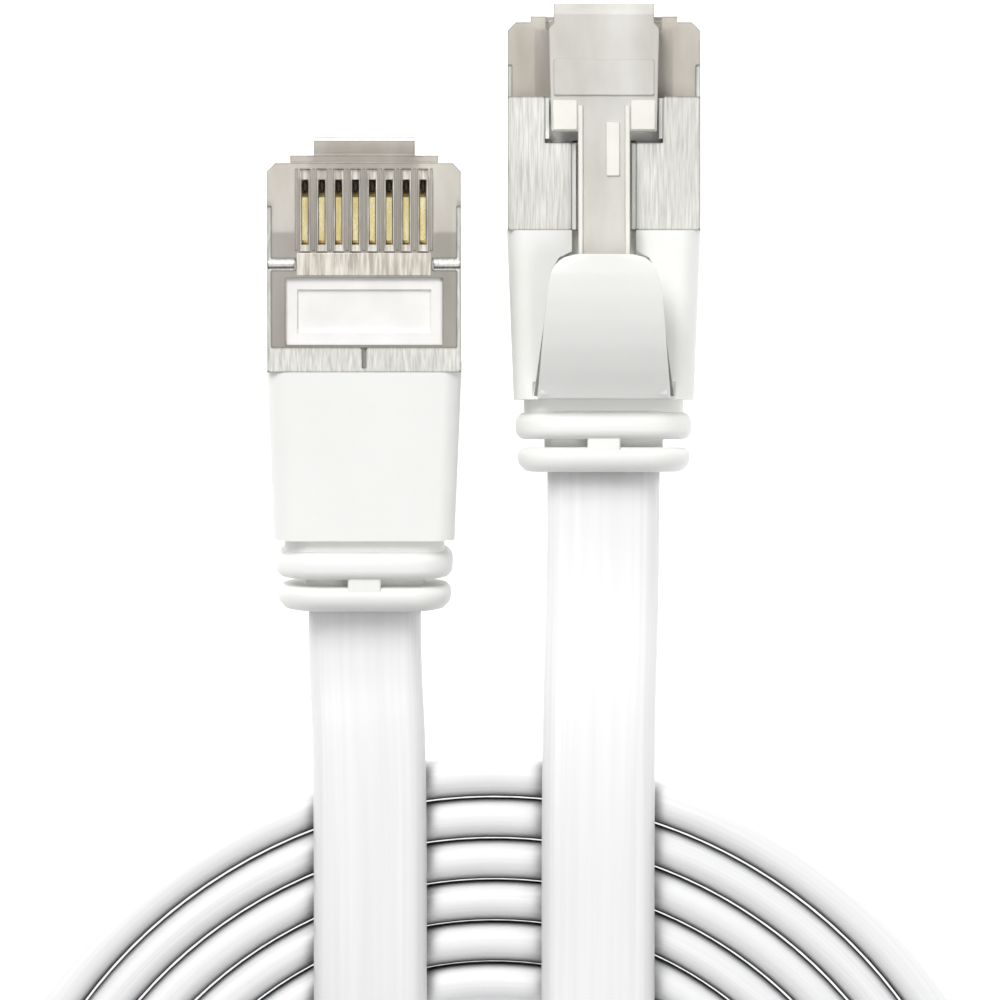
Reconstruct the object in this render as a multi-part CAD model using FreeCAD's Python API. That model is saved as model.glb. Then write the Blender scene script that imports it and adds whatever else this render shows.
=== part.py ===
import FreeCAD, Part
import math
import os

# A flat shielded patch cable: two modular plugs with boots, joined by one flat cable wound in a flat coil.
# Millimetres, +Z up, floor at z = 0.  Each plug is drawn once in its own frame (nose at y = 0, cable
# leaving towards -y, latch side up, cable centre at x = 0, z = 0) and then placed twice.

Vector = FreeCAD.Vector

# ---- plug body -------------------------------------------------------------------------------------------
PLUG_HALF_WIDTH = 5.84            # standard 11.68 mm plug
CONTACT_FACE_Z = -4.0
NOSE_TOP_Z = 2.6                  # 6.6 mm tall at the nose
SHIELD_TOP_Z = 4.0                # 8.0 mm tall at the shield
SHEET = 0.25                      # shield sheet thickness
NOSE_STEP_Y = -0.85
NOSE_FACE_Y = -1.2
SIDE_SHIELD_Y = -3.8
SHIELD_FRONT_Y = -5.75
SHIELD_REAR_Y = -13.85
BAND_FRONT_Y = -12.35             # metal band on the contact side
CORE_HALF_WIDTH = PLUG_HALF_WIDTH - SHEET
CORE_TOP_Z = SHIELD_TOP_Z - SHEET
CORE_REAR_Y = SHIELD_REAR_Y + SHEET
NOSE_CORNER = 0.5
STEP_HALF_WIDTH = 4.45
ROOT_BLOCK_TOP_Z = 1.4

# ---- contacts and wires ----------------------------------------------------------------------------------
CONTACT_COUNT = 8
CONTACT_PITCH = 1.016
CONTACT_THICK = 0.35
CONTACT_FRONT_Y = -2.95
CONTACT_REAR_Y = -6.1
CONTACT_OUTER_Z = -3.55
CONTACT_TOOTH_Z = -0.72
SLOT_WIDTH = 0.6
SLOT_FRONT_Y = -1.55
SLOT_REAR_Y = -6.6
SLOT_DEPTH_Z = -1.7
WIRE_Z = -0.2
WIRE_DIAMETER = 0.94
WIRE_FRONT_Y = -2.3
WIRE_REAR_Y = -9.4
WIRE_NAMES = ["white_orange", "orange", "white_green", "blue", "white_blue", "green", "white_brown", "brown"]
WIRE_ROOM = 0.05
GUIDE_FRONT_Y = -6.75
GUIDE_REAR_Y = -7.95
GUIDE_HALF_WIDTH = 4.2
GUIDE_BOTTOM_Z = -1.1
GUIDE_TOP_Z = 0.7

# ---- cable entry -----------------------------------------------------------------------------------------
CABLE_WIDTH = 6.85
CABLE_THICK = 2.38
CAVITY_HALF_WIDTH = 4.55
CAVITY_BOTTOM_Z = -1.5
CAVITY_TOP_Z = 1.9
CLAMP_HALF_WIDTH = 4.73
CLAMP_FRONT_Y = -8.15
CLAMP_REAR_Y = -12.2
CLAMP_OUTER_Z = -3.75
FOIL_THICK = 0.2
FOIL_FRONT_Y = -10.4
FOIL_REAR_Y = -17.2
CRIMP_HALF_WIDTH = 4.3
CRIMP_HALF_HEIGHT = 1.9
CRIMP_REAR_Y = -17.5
HOOK_FRONT_Y = -6.95
HOOK_REAR_Y = -7.7
HOOK_INNER_X = 4.1
SEAM_HALF_GAP = 0.12

# ---- latch -----------------------------------------------------------------------------------------------
LATCH_AXIS_Y = -0.6
LATCH_AXIS_Z = 2.0
LATCH_ROOT_RADIUS = 0.55
LATCH_ROOT_HALF = 3.05
LATCH_WIDE_HALF = 3.35
LATCH_SHOULDER_HALF = 3.2
LATCH_LEVER_HALF = 1.58
LATCH_SHOULDER_Y = -7.9
LATCH_TIP_Y = -16.9
LATCH_START_Y = -1.3
LATCH_START_Z = 2.8
LATCH_SLOPE = 0.21                # about 12 degrees at rest
LATCH_THICK = 0.92
HINGE_GAP = 0.05
LEVER_GAP = 0.37
ROOT_SWING = 0.4                  # room behind the hinge bead for the pressed latch
SHOULDER_SWING = 0.65             # room behind the shoulders for the pressed latch

# ---- boot, flap and strain relief ------------------------------------------------------------------------
BOOT_FRONT_Y = SHIELD_REAR_Y
BOOT_REAR_Y = -24.1
BOOT_FRONT_HALF = 5.88
BOOT_REAR_HALF = 5.47
BOOT_FRONT_TOP = 4.3
BOOT_REAR_TOP = 4.1
BOOT_REAR_BOTTOM = -3.9
BOOT_ROUND = 1.3
BOOT_WELL_Z = 3.3                 # floor of the well under the flap
LEVER_WELL_Z = 2.9
LEVER_WELL_REAR_Y = -17.4
FLAP_FRONT_Y = -15.37
FLAP_FRONT_HALF = 2.98
FLAP_REAR_HALF = 4.03
FLAP_CORNER = 1.3
FLAP_THICK = 1.1
FLAP_TOP = [(FLAP_FRONT_Y, 8.6), (-18.3, 8.15), (-21.3, 6.85), (-23.5, 5.05)]
FLAP_AXIS_Y = -23.5
FLAP_AXIS_Z = 4.5
FLAP_ROOT_RADIUS = 0.55
FLAP_GAP = 0.25
RIB_HALF_WIDTH = 1.2
RIB_FRONT_Y = -16.0
RIB_REAR_Y = -16.6
RIB_BOTTOM_Z = 7.0
NECK_HALF_WIDTH = 4.85
NECK_HALF_HEIGHT = 3.1
SLOT_HALF_WIDTH = 3.9
SLOT_HALF_HEIGHT = 2.3
COLLAR_1 = (-24.85, -26.75, 5.35, 3.8)     # front y, rear y, half width, half height
COLLAR_2 = (-27.25, -28.5, 5.25, 3.5)
COLLAR_ROUND = 2.6
SPINE_HALF_WIDTH = 0.95
EXIT_Y = COLLAR_2[1]

# ---- where the plugs lie ---------------------------------------------------------------------------------
PLUG_A_X = -7.2
PLUG_B_X = 7.3
PLUG_A_PITCH_DEG = 5.5            # plug A lies latch side down, nose a little up
PLUG_A_EXIT_Y = -18.2
PLUG_A_EXIT_Z = 7.35
PLUG_B_NOSE_Y = 18.5
PLUG_B_Z = -CONTACT_FACE_Z

# ---- coil ------------------------------------------------------------------------------------------------
COIL_X = 1.04
COIL_Y = -60.7
TURN_PITCH = 2.5
FIRST_RADIUS = 19.7               # centre of the innermost turn at its first pass of the far side
FIRST_ANGLE = 450.0               # degrees, anticlockwise from +X; 450 is the far side
COIL_START = 294.0
COIL_END = 2330.0
COIL_Z = CABLE_WIDTH / 2
OUTLINE_STEP = 15

# ---- leads -----------------------------------------------------------------------------------------------
LEAD_A_X = -6.86
LEAD_B_X = 6.94
OVER_COIL_Z = 8.06                # flat cable lying on top of the coil
INNER_BEND_RADIUS = 11.0
INNER_BEND_CORNERS = 4
OUTER_BEND_RADIUS = 16.0
OUTER_BEND_CORNERS = 4
OUTER_BEND_ANGLE = 2394.0
OUTER_BEND_Z = 10.4
CLIMB_HEIGHTS = [3.6, 5.6, 8.2, 10.1]      # cable centre at each corner while it climbs over the coil's end
TWIST_A = (-45.5, -67.0)          # y where lead A starts and stops turning from flat to on edge
TWIST_B = (-46.0, -71.0)
ARC_SHARE = 0.45
STATION_GAP = 2.4
ARC_STATIONS = 5


def block(x0, x1, y0, y1, z0, z1):
    return Part.makeBox(x1 - x0, y1 - y0, z1 - z0, Vector(x0, y0, z0))


def rod(radius, half_width, y, z):
    return Part.makeCylinder(radius, 2 * half_width, Vector(-half_width, y, z), Vector(1, 0, 0))


def side_prism(points, half_width):
    corners = [Vector(-half_width, y, z) for y, z in points]
    face = Part.Face(Part.makePolygon(corners + corners[:1]))
    return face.extrude(Vector(2 * half_width, 0, 0))


def plan_prism(points, z0, z1):
    corners = [Vector(x, y, z0) for x, y in points]
    face = Part.Face(Part.makePolygon(corners + corners[:1]))
    return face.extrude(Vector(0, 0, z1 - z0))


def mirrored(points):
    return points + [(-x, y) for x, y in reversed(points)]


def rounded_outline(half_width, z0, z1, radius, y):
    """Closed rounded rectangle standing across the plug at one y."""
    wire_edges = []
    corners = [(half_width - radius, z0 + radius, 270), (half_width - radius, z1 - radius, 0),
               (-half_width + radius, z1 - radius, 90), (-half_width + radius, z0 + radius, 180)]
    ends = []
    for x, z, start in corners:
        arc = [Vector(x + radius * math.cos(math.radians(start + a)), y,
                      z + radius * math.sin(math.radians(start + a))) for a in (0, 45, 90)]
        ends.append(arc)
    for i, arc in enumerate(ends):
        wire_edges.append(Part.Arc(*arc).toShape())
        following = ends[(i + 1) % 4]
        if arc[2].distanceToPoint(following[0]) > 1e-6:
            wire_edges.append(Part.LineSegment(arc[2], following[0]).toShape())
    return Part.Wire(wire_edges)


def rounded_bar(half_width, z0, z1, radius, y0, y1):
    outline = rounded_outline(half_width, z0, z1, radius, y1)
    return Part.Face(outline).extrude(Vector(0, y0 - y1, 0))


def flat_bar(width, thick, y0, y1):
    return rounded_bar(width / 2, -thick / 2, thick / 2, thick / 2 - 0.001, y0, y1)


def fused(shapes):
    return shapes[0].multiFuse(shapes[1:]).removeSplitter()


def contact_x(index):
    """Contact 1 is on the +x side when the latch side is up."""
    return (CONTACT_COUNT - 1) / 2 * CONTACT_PITCH - index * CONTACT_PITCH


def wire(index, extra=0.0):
    radius = WIRE_DIAMETER / 2 + extra
    start = Vector(contact_x(index), WIRE_REAR_Y - extra, WIRE_Z)
    return Part.makeCylinder(radius, WIRE_FRONT_Y - WIRE_REAR_Y + 2 * extra, start, Vector(0, 1, 0))


def blade(index):
    """One contact blade; its two teeth bite into the wire beneath, so the wire is cut to it."""
    mid_y = (CONTACT_FRONT_Y + CONTACT_REAR_Y) / 2
    outline = [(CONTACT_FRONT_Y, CONTACT_OUTER_Z + 0.35), (CONTACT_FRONT_Y - 0.35, CONTACT_OUTER_Z),
               (CONTACT_REAR_Y + 0.2, CONTACT_OUTER_Z), (CONTACT_REAR_Y, CONTACT_OUTER_Z + 0.2),
               (CONTACT_REAR_Y, CONTACT_TOOTH_Z - 0.6), (CONTACT_REAR_Y + 0.6, CONTACT_TOOTH_Z),
               (mid_y, CONTACT_TOOTH_Z - 0.6), (CONTACT_FRONT_Y - 0.6, CONTACT_TOOTH_Z),
               (CONTACT_FRONT_Y, CONTACT_TOOTH_Z - 0.6)]
    solid = side_prism(outline, CONTACT_THICK / 2)
    solid.translate(Vector(contact_x(index), 0, 0))
    return solid


def jacket_end():
    return flat_bar(CABLE_WIDTH, CABLE_THICK, EXIT_Y, WIRE_REAR_Y)


def foil():
    around = flat_bar(CABLE_WIDTH + 2 * FOIL_THICK, CABLE_THICK + 2 * FOIL_THICK, FOIL_REAR_Y, FOIL_FRONT_Y)
    return around.cut(jacket_end())


def guide():
    bar = block(-GUIDE_HALF_WIDTH, GUIDE_HALF_WIDTH, GUIDE_REAR_Y, GUIDE_FRONT_Y, GUIDE_BOTTOM_Z, GUIDE_TOP_Z)
    return bar.cut(Part.makeCompound([wire(i, 0.02) for i in range(CONTACT_COUNT)]))


def clamp():
    bar = block(-CLAMP_HALF_WIDTH, CLAMP_HALF_WIDTH, CLAMP_REAR_Y, CLAMP_FRONT_Y, CLAMP_OUTER_Z, CAVITY_BOTTOM_Z)
    dish = block(-CLAMP_HALF_WIDTH + 0.7, CLAMP_HALF_WIDTH - 0.7, CLAMP_REAR_Y + 0.7, CLAMP_FRONT_Y - 0.7,
                 CLAMP_OUTER_Z, CLAMP_OUTER_Z + 0.2)
    return bar.cut(dish)


def latch_low(y):
    return LATCH_START_Z + LATCH_SLOPE * (LATCH_START_Y - y)


def latch():
    side = [(-0.05, LATCH_AXIS_Z), (-0.1, 2.9), (-0.75, latch_low(-0.75) + LATCH_THICK),
            (LATCH_TIP_Y, latch_low(LATCH_TIP_Y) + LATCH_THICK), (LATCH_TIP_Y, latch_low(LATCH_TIP_Y)),
            (LATCH_START_Y, LATCH_START_Z), (-1.15, LATCH_AXIS_Z)]
    plan = mirrored([(LATCH_ROOT_HALF, 0.1), (LATCH_ROOT_HALF, LATCH_START_Y),
                     (LATCH_WIDE_HALF, LATCH_START_Y - 0.3), (LATCH_SHOULDER_HALF, LATCH_SHOULDER_Y),
                     (LATCH_LEVER_HALF, LATCH_SHOULDER_Y), (LATCH_LEVER_HALF, LATCH_TIP_Y - 0.1)])
    plate = side_prism(side, LATCH_WIDE_HALF + 0.1).common(plan_prism(plan, 0.0, 10.0))
    return fused([plate, rod(LATCH_ROOT_RADIUS, LATCH_ROOT_HALF, LATCH_AXIS_Y, LATCH_AXIS_Z)])


def latch_room():
    """Space the latch moves through above the plug body."""
    low = NOSE_TOP_Z
    return [block(-LATCH_SHOULDER_HALF - LEVER_GAP, LATCH_SHOULDER_HALF + LEVER_GAP,
                  LATCH_SHOULDER_Y - SHOULDER_SWING, SHIELD_FRONT_Y + 0.1, low, SHIELD_TOP_Z + 0.5),
            block(-LATCH_LEVER_HALF - LEVER_GAP, LATCH_LEVER_HALF + LEVER_GAP,
                  SHIELD_REAR_Y - 0.1, SHIELD_FRONT_Y, low, SHIELD_TOP_Z + 0.5),
            block(-LATCH_WIDE_HALF - 0.15, LATCH_WIDE_HALF + 0.15, NOSE_FACE_Y - ROOT_SWING, 0.1,
                  LATCH_AXIS_Z, NOSE_TOP_Z + 0.1),
            rod(LATCH_ROOT_RADIUS + HINGE_GAP, LATCH_WIDE_HALF + 0.15, LATCH_AXIS_Y, LATCH_AXIS_Z)]


def shield_hooks():
    low, high = CONTACT_FACE_Z, CONTACT_FACE_Z + SHEET
    return [block(HOOK_INNER_X, PLUG_HALF_WIDTH, HOOK_REAR_Y, HOOK_FRONT_Y, low, high),
            block(-PLUG_HALF_WIDTH, -HOOK_INNER_X, HOOK_REAR_Y, HOOK_FRONT_Y, low, high)]


def crimp_tube():
    outer = rounded_bar(CRIMP_HALF_WIDTH, -CRIMP_HALF_HEIGHT, CRIMP_HALF_HEIGHT, 1.2, CRIMP_REAR_Y, SHIELD_REAR_Y)
    return outer.cut(crimp_bore())


def crimp_bore():
    half_height = CRIMP_HALF_HEIGHT - SHEET
    return rounded_bar(CRIMP_HALF_WIDTH - SHEET, -half_height, half_height, 1.0, CRIMP_REAR_Y - 0.5, CORE_REAR_Y + 0.5)


def shield():
    w, low, top = PLUG_HALF_WIDTH, CONTACT_FACE_Z, SHIELD_TOP_Z
    sheets = [block(-w, w, SHIELD_REAR_Y, SHIELD_FRONT_Y, CORE_TOP_Z, top),
              block(-w, w, SHIELD_REAR_Y, BAND_FRONT_Y, low, low + SHEET),
              block(-w, w, SHIELD_REAR_Y, CORE_REAR_Y, low, top)]
    for x0, x1 in ((-w, -CORE_HALF_WIDTH), (CORE_HALF_WIDTH, w)):
        sheets.append(block(x0, x1, SHIELD_REAR_Y, SHIELD_FRONT_Y, low, top))
        sheets.append(block(x0, x1, SHIELD_FRONT_Y, SIDE_SHIELD_Y, low, NOSE_TOP_Z))
    solid = fused(sheets + shield_hooks())
    seam = block(-SEAM_HALF_GAP, SEAM_HALF_GAP, CORE_REAR_Y, BAND_FRONT_Y, low, low + SHEET)
    for gap in latch_room()[:2] + [seam, crimp_bore()]:
        solid = solid.cut(gap)
    return fused([solid, crimp_tube()])


def housing():
    w = PLUG_HALF_WIDTH
    nose = plan_prism(mirrored([(w - NOSE_CORNER, NOSE_FACE_Y), (w, NOSE_FACE_Y - NOSE_CORNER),
                                (w, SIDE_SHIELD_Y), (CORE_HALF_WIDTH, SIDE_SHIELD_Y),
                                (CORE_HALF_WIDTH, SHIELD_FRONT_Y)]), CONTACT_FACE_Z, NOSE_TOP_Z)
    body = fused([nose,
                  block(-CORE_HALF_WIDTH, CORE_HALF_WIDTH, CORE_REAR_Y, SHIELD_FRONT_Y, CONTACT_FACE_Z, CORE_TOP_Z),
                  block(-STEP_HALF_WIDTH, STEP_HALF_WIDTH, NOSE_FACE_Y, NOSE_STEP_Y, -2.6, NOSE_TOP_Z),
                  block(-LATCH_ROOT_HALF, LATCH_ROOT_HALF, NOSE_STEP_Y, -0.1, -0.6, ROOT_BLOCK_TOP_Z)])
    cuts = latch_room() + shield_hooks()
    cuts.append(block(-w, w, CORE_REAR_Y, BAND_FRONT_Y, CONTACT_FACE_Z, CONTACT_FACE_Z + SHEET))
    cuts.append(block(-CLAMP_HALF_WIDTH, CLAMP_HALF_WIDTH, CLAMP_REAR_Y, CLAMP_FRONT_Y,
                      CONTACT_FACE_Z, CAVITY_BOTTOM_Z))
    cuts.append(block(-CAVITY_HALF_WIDTH, CAVITY_HALF_WIDTH, CORE_REAR_Y, GUIDE_REAR_Y,
                      CAVITY_BOTTOM_Z, CAVITY_TOP_Z))
    cuts.append(block(-GUIDE_HALF_WIDTH, GUIDE_HALF_WIDTH, GUIDE_REAR_Y, GUIDE_FRONT_Y,
                      GUIDE_BOTTOM_Z, GUIDE_TOP_Z))
    cuts.append(block(-GUIDE_HALF_WIDTH, GUIDE_HALF_WIDTH, GUIDE_FRONT_Y, WIRE_FRONT_Y + WIRE_ROOM,
                      WIRE_Z - WIRE_DIAMETER / 2 - WIRE_ROOM, WIRE_Z + WIRE_DIAMETER / 2 + WIRE_ROOM))
    for i in range(CONTACT_COUNT):
        x = contact_x(i)
        cuts.append(block(x - SLOT_WIDTH / 2, x + SLOT_WIDTH / 2, SLOT_REAR_Y, SLOT_FRONT_Y,
                          CONTACT_FACE_Z, SLOT_DEPTH_Z))
        cuts.append(block(x - CONTACT_THICK / 2, x + CONTACT_THICK / 2, CONTACT_REAR_Y, CONTACT_FRONT_Y,
                          SLOT_DEPTH_Z - 0.1, WIRE_Z))
    return body.cut(cuts)


def flap_plan(extra):
    rear_y = BOOT_REAR_Y - 0.1
    front_y = FLAP_FRONT_Y + extra
    front, rear = FLAP_FRONT_HALF + extra, FLAP_REAR_HALF + extra
    return mirrored([(front - FLAP_CORNER, front_y), (front - 0.38 * FLAP_CORNER, front_y - 0.3 * FLAP_CORNER),
                     (front, front_y - FLAP_CORNER), (rear, rear_y)])


def flap():
    under = [(y, z - FLAP_THICK) for y, z in reversed(FLAP_TOP)]
    plate = side_prism(FLAP_TOP + under, FLAP_REAR_HALF + 0.5)
    plate = plate.common(plan_prism(flap_plan(0.0), 0.0, 12.0))
    rib = block(-RIB_HALF_WIDTH, RIB_HALF_WIDTH, RIB_REAR_Y, RIB_FRONT_Y, RIB_BOTTOM_Z, 7.6)
    return fused([plate, rib, rod(FLAP_ROOT_RADIUS, FLAP_REAR_HALF - 0.15, FLAP_AXIS_Y, FLAP_AXIS_Z)])


def boot():
    outline = [rounded_outline(BOOT_REAR_HALF, BOOT_REAR_BOTTOM, BOOT_REAR_TOP, BOOT_ROUND, BOOT_REAR_Y),
               rounded_outline(BOOT_FRONT_HALF, CONTACT_FACE_Z, BOOT_FRONT_TOP, BOOT_ROUND, BOOT_FRONT_Y)]
    solid = Part.makeLoft(outline, True, True)
    lever_half = LATCH_LEVER_HALF + LEVER_GAP
    cuts = [plan_prism(flap_plan(FLAP_GAP), BOOT_WELL_Z, 6.0).cut(
                block(-6, 6, BOOT_REAR_Y - 1, FLAP_AXIS_Y - 0.4, 0, 7)),
            block(-lever_half, lever_half, LEVER_WELL_REAR_Y, BOOT_FRONT_Y + 0.1, LEVER_WELL_Z, 6.0),
            rod(FLAP_ROOT_RADIUS + HINGE_GAP, FLAP_REAR_HALF + 0.3, FLAP_AXIS_Y, FLAP_AXIS_Z),
            rounded_bar(CRIMP_HALF_WIDTH, -CRIMP_HALF_HEIGHT, CRIMP_HALF_HEIGHT, 1.2,
                        CRIMP_REAR_Y, BOOT_FRONT_Y),
            jacket_end()]
    return solid.cut(cuts)


def strain_relief():
    shapes = [rounded_bar(NECK_HALF_WIDTH, -NECK_HALF_HEIGHT, NECK_HALF_HEIGHT, 1.2, COLLAR_1[1], BOOT_REAR_Y),
              rounded_bar(SLOT_HALF_WIDTH, -SLOT_HALF_HEIGHT, SLOT_HALF_HEIGHT, 1.2, EXIT_Y, COLLAR_1[1])]
    for front_y, rear_y, half_width, half_height in (COLLAR_1, COLLAR_2):
        shapes.append(rounded_bar(half_width, -half_height, half_height, COLLAR_ROUND, rear_y, front_y))
    spine_height = COLLAR_2[3]
    shapes.append(block(-SPINE_HALF_WIDTH, SPINE_HALF_WIDTH, COLLAR_2[0] - 0.2, COLLAR_1[1] + 0.2,
                        -spine_height, spine_height))
    return fused(shapes).cut(jacket_end())


def plug_pieces():
    blades = [blade(i) for i in range(CONTACT_COUNT)]
    pieces = {"housing": housing(), "latch": latch(), "contacts": Part.makeCompound(blades),
              "wire_guide": guide(), "clamp_bar": clamp(), "shield": shield(), "foil_wrap": foil(),
              "jacket_end": jacket_end(), "boot": boot(), "boot_flap": flap(),
              "strain_relief": strain_relief()}
    for i, colour in enumerate(WIRE_NAMES):
        pieces["wire_" + colour] = wire(i).cut(blades[i])
    return pieces


def plug_placements():
    """Plug A is turned over and pitched; plug B lies contact side down."""
    turned = FreeCAD.Rotation(Vector(1, 0, 0), PLUG_A_PITCH_DEG) * FreeCAD.Rotation(Vector(0, 1, 0), 180)
    exit_offset = turned.multVec(Vector(0, EXIT_Y, 0))
    base_a = Vector(PLUG_A_X, PLUG_A_EXIT_Y, PLUG_A_EXIT_Z) - exit_offset
    base_b = Vector(PLUG_B_X, PLUG_B_NOSE_Y, PLUG_B_Z)
    return {"plug_a": FreeCAD.Placement(base_a, turned), "plug_b": FreeCAD.Placement(base_b, FreeCAD.Rotation())}


def turn_radius(angle):
    return FIRST_RADIUS + TURN_PITCH * (angle - FIRST_ANGLE) / 360


def around(centre_x, centre_y, radius, angle, z):
    a = math.radians(angle)
    return Vector(centre_x + radius * math.cos(a), centre_y + radius * math.sin(a), z)


def bend_corners(centre_x, centre_y, radius, start, stop, count, z):
    """Corners of a polygon that touches a round bend of this radius."""
    step = (stop - start) / count
    reach = radius / math.cos(math.radians(step / 2))
    return [around(centre_x, centre_y, reach, start + step * (i + 0.5), z) for i in range(count)]


def bend_centre(line_x, bend_radius, coil_radius, side):
    """Centre of a bend that touches the straight lead at line_x and, from inside, the coil circle."""
    x = line_x - COIL_X + side * bend_radius
    reach = coil_radius - bend_radius
    return COIL_X + x, COIL_Y - math.sqrt(reach * reach - x * x)


def lead_a_points():
    pitch = math.radians(PLUG_A_PITCH_DEG)
    first_run = 3.4
    exit_point = Vector(PLUG_A_X, PLUG_A_EXIT_Y, PLUG_A_EXIT_Z)
    centre_x, centre_y = bend_centre(LEAD_A_X, INNER_BEND_RADIUS, turn_radius(COIL_START), 1)
    points = [exit_point,
              exit_point - Vector(0, first_run * math.cos(pitch), first_run * math.sin(pitch)),
              Vector(LEAD_A_X, -27.2, OVER_COIL_Z),
              Vector(LEAD_A_X, -45.0, OVER_COIL_Z),
              Vector(LEAD_A_X, -61.0, COIL_Z + 0.8)]
    points += bend_corners(centre_x, centre_y, INNER_BEND_RADIUS, 180, COIL_START, INNER_BEND_CORNERS, COIL_Z)
    return points + [around(COIL_X, COIL_Y, turn_radius(COIL_START), COIL_START, COIL_Z)]


def lead_b_points():
    climb_step = (OUTER_BEND_ANGLE - COIL_END) / len(CLIMB_HEIGHTS)
    points = [around(COIL_X, COIL_Y, turn_radius(COIL_END), COIL_END, COIL_Z)]
    for i, height in enumerate(CLIMB_HEIGHTS):
        angle = COIL_END + climb_step * (i + 0.5)
        reach = turn_radius(angle) / math.cos(math.radians(climb_step / 2))
        points.append(around(COIL_X, COIL_Y, reach, angle, height))
    centre_x, centre_y = bend_centre(LEAD_B_X, OUTER_BEND_RADIUS, turn_radius(OUTER_BEND_ANGLE), -1)
    points += bend_corners(centre_x, centre_y, OUTER_BEND_RADIUS, OUTER_BEND_ANGLE - 2160, 360,
                           OUTER_BEND_CORNERS, OUTER_BEND_Z)
    exit_y = PLUG_B_NOSE_Y + EXIT_Y
    return points + [Vector(LEAD_B_X, -63.5, OUTER_BEND_Z - 0.3),
                     Vector(LEAD_B_X, -45.5, OVER_COIL_Z),
                     Vector(LEAD_B_X, -26.4, OVER_COIL_Z),
                     Vector(PLUG_B_X, exit_y - 6.0, PLUG_B_Z),
                     Vector(PLUG_B_X, exit_y, PLUG_B_Z)]


def lead_wire(points, name):
    """Straight runs joined by tangent arcs."""
    edges = []
    at = points[0]
    for before, corner, after in zip(points, points[1:], points[2:]):
        back, ahead = before - corner, after - corner
        turn = math.pi - back.getAngle(ahead)
        reach = ARC_SHARE * min(back.Length, ahead.Length)
        radius = reach / math.tan(turn / 2)
        print(name, "corner", [round(v, 2) for v in corner], "turn", round(math.degrees(turn), 1),
              "radius", round(radius, 1))
        back.normalize()
        ahead.normalize()
        start, stop = corner + back * reach, corner + ahead * reach
        to_middle = back + ahead
        to_middle.normalize()
        middle = corner + to_middle * (radius / math.cos(turn / 2) - radius)
        edges.append(Part.LineSegment(at, start).toShape())
        edges.append(Part.Arc(start, middle, stop).toShape())
        at = stop
    edges.append(Part.LineSegment(at, points[-1]).toShape())
    return Part.Wire(edges)


def edge_roll(y, twist):
    """0 where the cable lies flat, 90 degrees where it stands on edge."""
    share = min(max((twist[0] - y) / (twist[0] - twist[1]), 0.0), 1.0)
    return math.pi / 2 * share * share * (3 - 2 * share)


def section_wire(at, along, roll):
    """Flat cable section with round edges, across the direction it runs in."""
    level = along.cross(Vector(0, 0, 1))
    level.normalize()
    upright = level.cross(along)
    wide = level * math.cos(roll) + upright * math.sin(roll)
    thin = along.cross(wide)
    r = CABLE_THICK / 2
    reach = CABLE_WIDTH / 2 - r
    a, b = at + wide * reach, at - wide * reach
    return Part.Wire([Part.LineSegment(b - thin * r, a - thin * r).toShape(),
                      Part.Arc(a - thin * r, a + wide * r, a + thin * r).toShape(),
                      Part.LineSegment(a + thin * r, b + thin * r).toShape(),
                      Part.Arc(b + thin * r, b - wide * r, b - thin * r).toShape()])


def lead(points, twist, on_edge_beyond, name):
    route = lead_wire(points, name)
    sections = []
    last = None
    for edge in route.Edges:
        straight = edge.Curve.TypeId == "Part::GeomLine"
        count = max(1, math.ceil(edge.Length / STATION_GAP)) if straight else ARC_STATIONS
        first, final = edge.ParameterRange
        for i in range(count + 1):
            value = first + (final - first) * i / count
            at, along = edge.valueAt(value), edge.tangentAt(value)
            if last is not None and at.distanceToPoint(last) < 0.05:
                continue
            roll = math.pi / 2 if on_edge_beyond(at) else edge_roll(at.y, twist)
            sections.append(section_wire(at, along, roll))
            last = at
    solid = Part.makeLoft(sections, True, True)
    round_ends = (4 - math.pi) * (CABLE_THICK / 2) ** 2
    expected = route.Length * (CABLE_WIDTH * CABLE_THICK - round_ends)
    print(name, "length", round(route.Length, 1), "volume", round(solid.Volume, 1), "expected", round(expected, 1),
          "lowest", round(solid.optimalBoundingBox(False).ZMin, 3))
    return solid


def spiral_edge(start, stop, offset):
    count = int((stop - start) / OUTLINE_STEP)
    angles = [start + (stop - start) * i / count for i in range(count + 1)]
    curve = Part.BSplineCurve()
    curve.interpolate([around(COIL_X, COIL_Y, turn_radius(a) + offset, a, 0) for a in angles])
    return curve.toShape()


def coil():
    """Outer shape of the whole coil: a flat ring with a step where each lead joins it."""
    wires = []
    for start, offset in ((COIL_END - 360, CABLE_THICK / 2), (COIL_START, -CABLE_THICK / 2)):
        edge = spiral_edge(start, start + 360, offset)
        ends = [edge.Vertexes[0].Point, edge.Vertexes[-1].Point]
        wires.append(Part.Wire([edge, Part.LineSegment(ends[1], ends[0]).toShape()]))
    ring = Part.Face(wires[0]).cut(Part.Face(wires[1]))
    return ring.Faces[0].extrude(Vector(0, 0, CABLE_WIDTH))


def largest(shape):
    return max(shape.Solids, key=lambda solid: solid.Volume)


def write(name, shape):
    shape.exportStep("parts/" + name + ".step")
    print(name, "solids", len(shape.Solids), "valid", shape.isValid(), "volume", round(shape.Volume, 3),
          "low", round(shape.optimalBoundingBox(False).ZMin, 3))


def print_joint(plug, placement):
    for part, y, z, sign in (("latch", LATCH_AXIS_Y, LATCH_AXIS_Z, 1), ("flap", FLAP_AXIS_Y, FLAP_AXIS_Z, -1)):
        at = placement.multVec(Vector(0, y, z))
        axis = placement.Rotation.multVec(Vector(sign, 0, 0))
        print("hinge", plug, part, [round(v / 1000, 6) for v in at], [round(v, 6) for v in axis])


def coil_length():
    start, stop = math.radians(COIL_START), math.radians(COIL_END)
    return (stop - start) * (turn_radius(COIL_START) + turn_radius(COIL_END)) / 2


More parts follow.
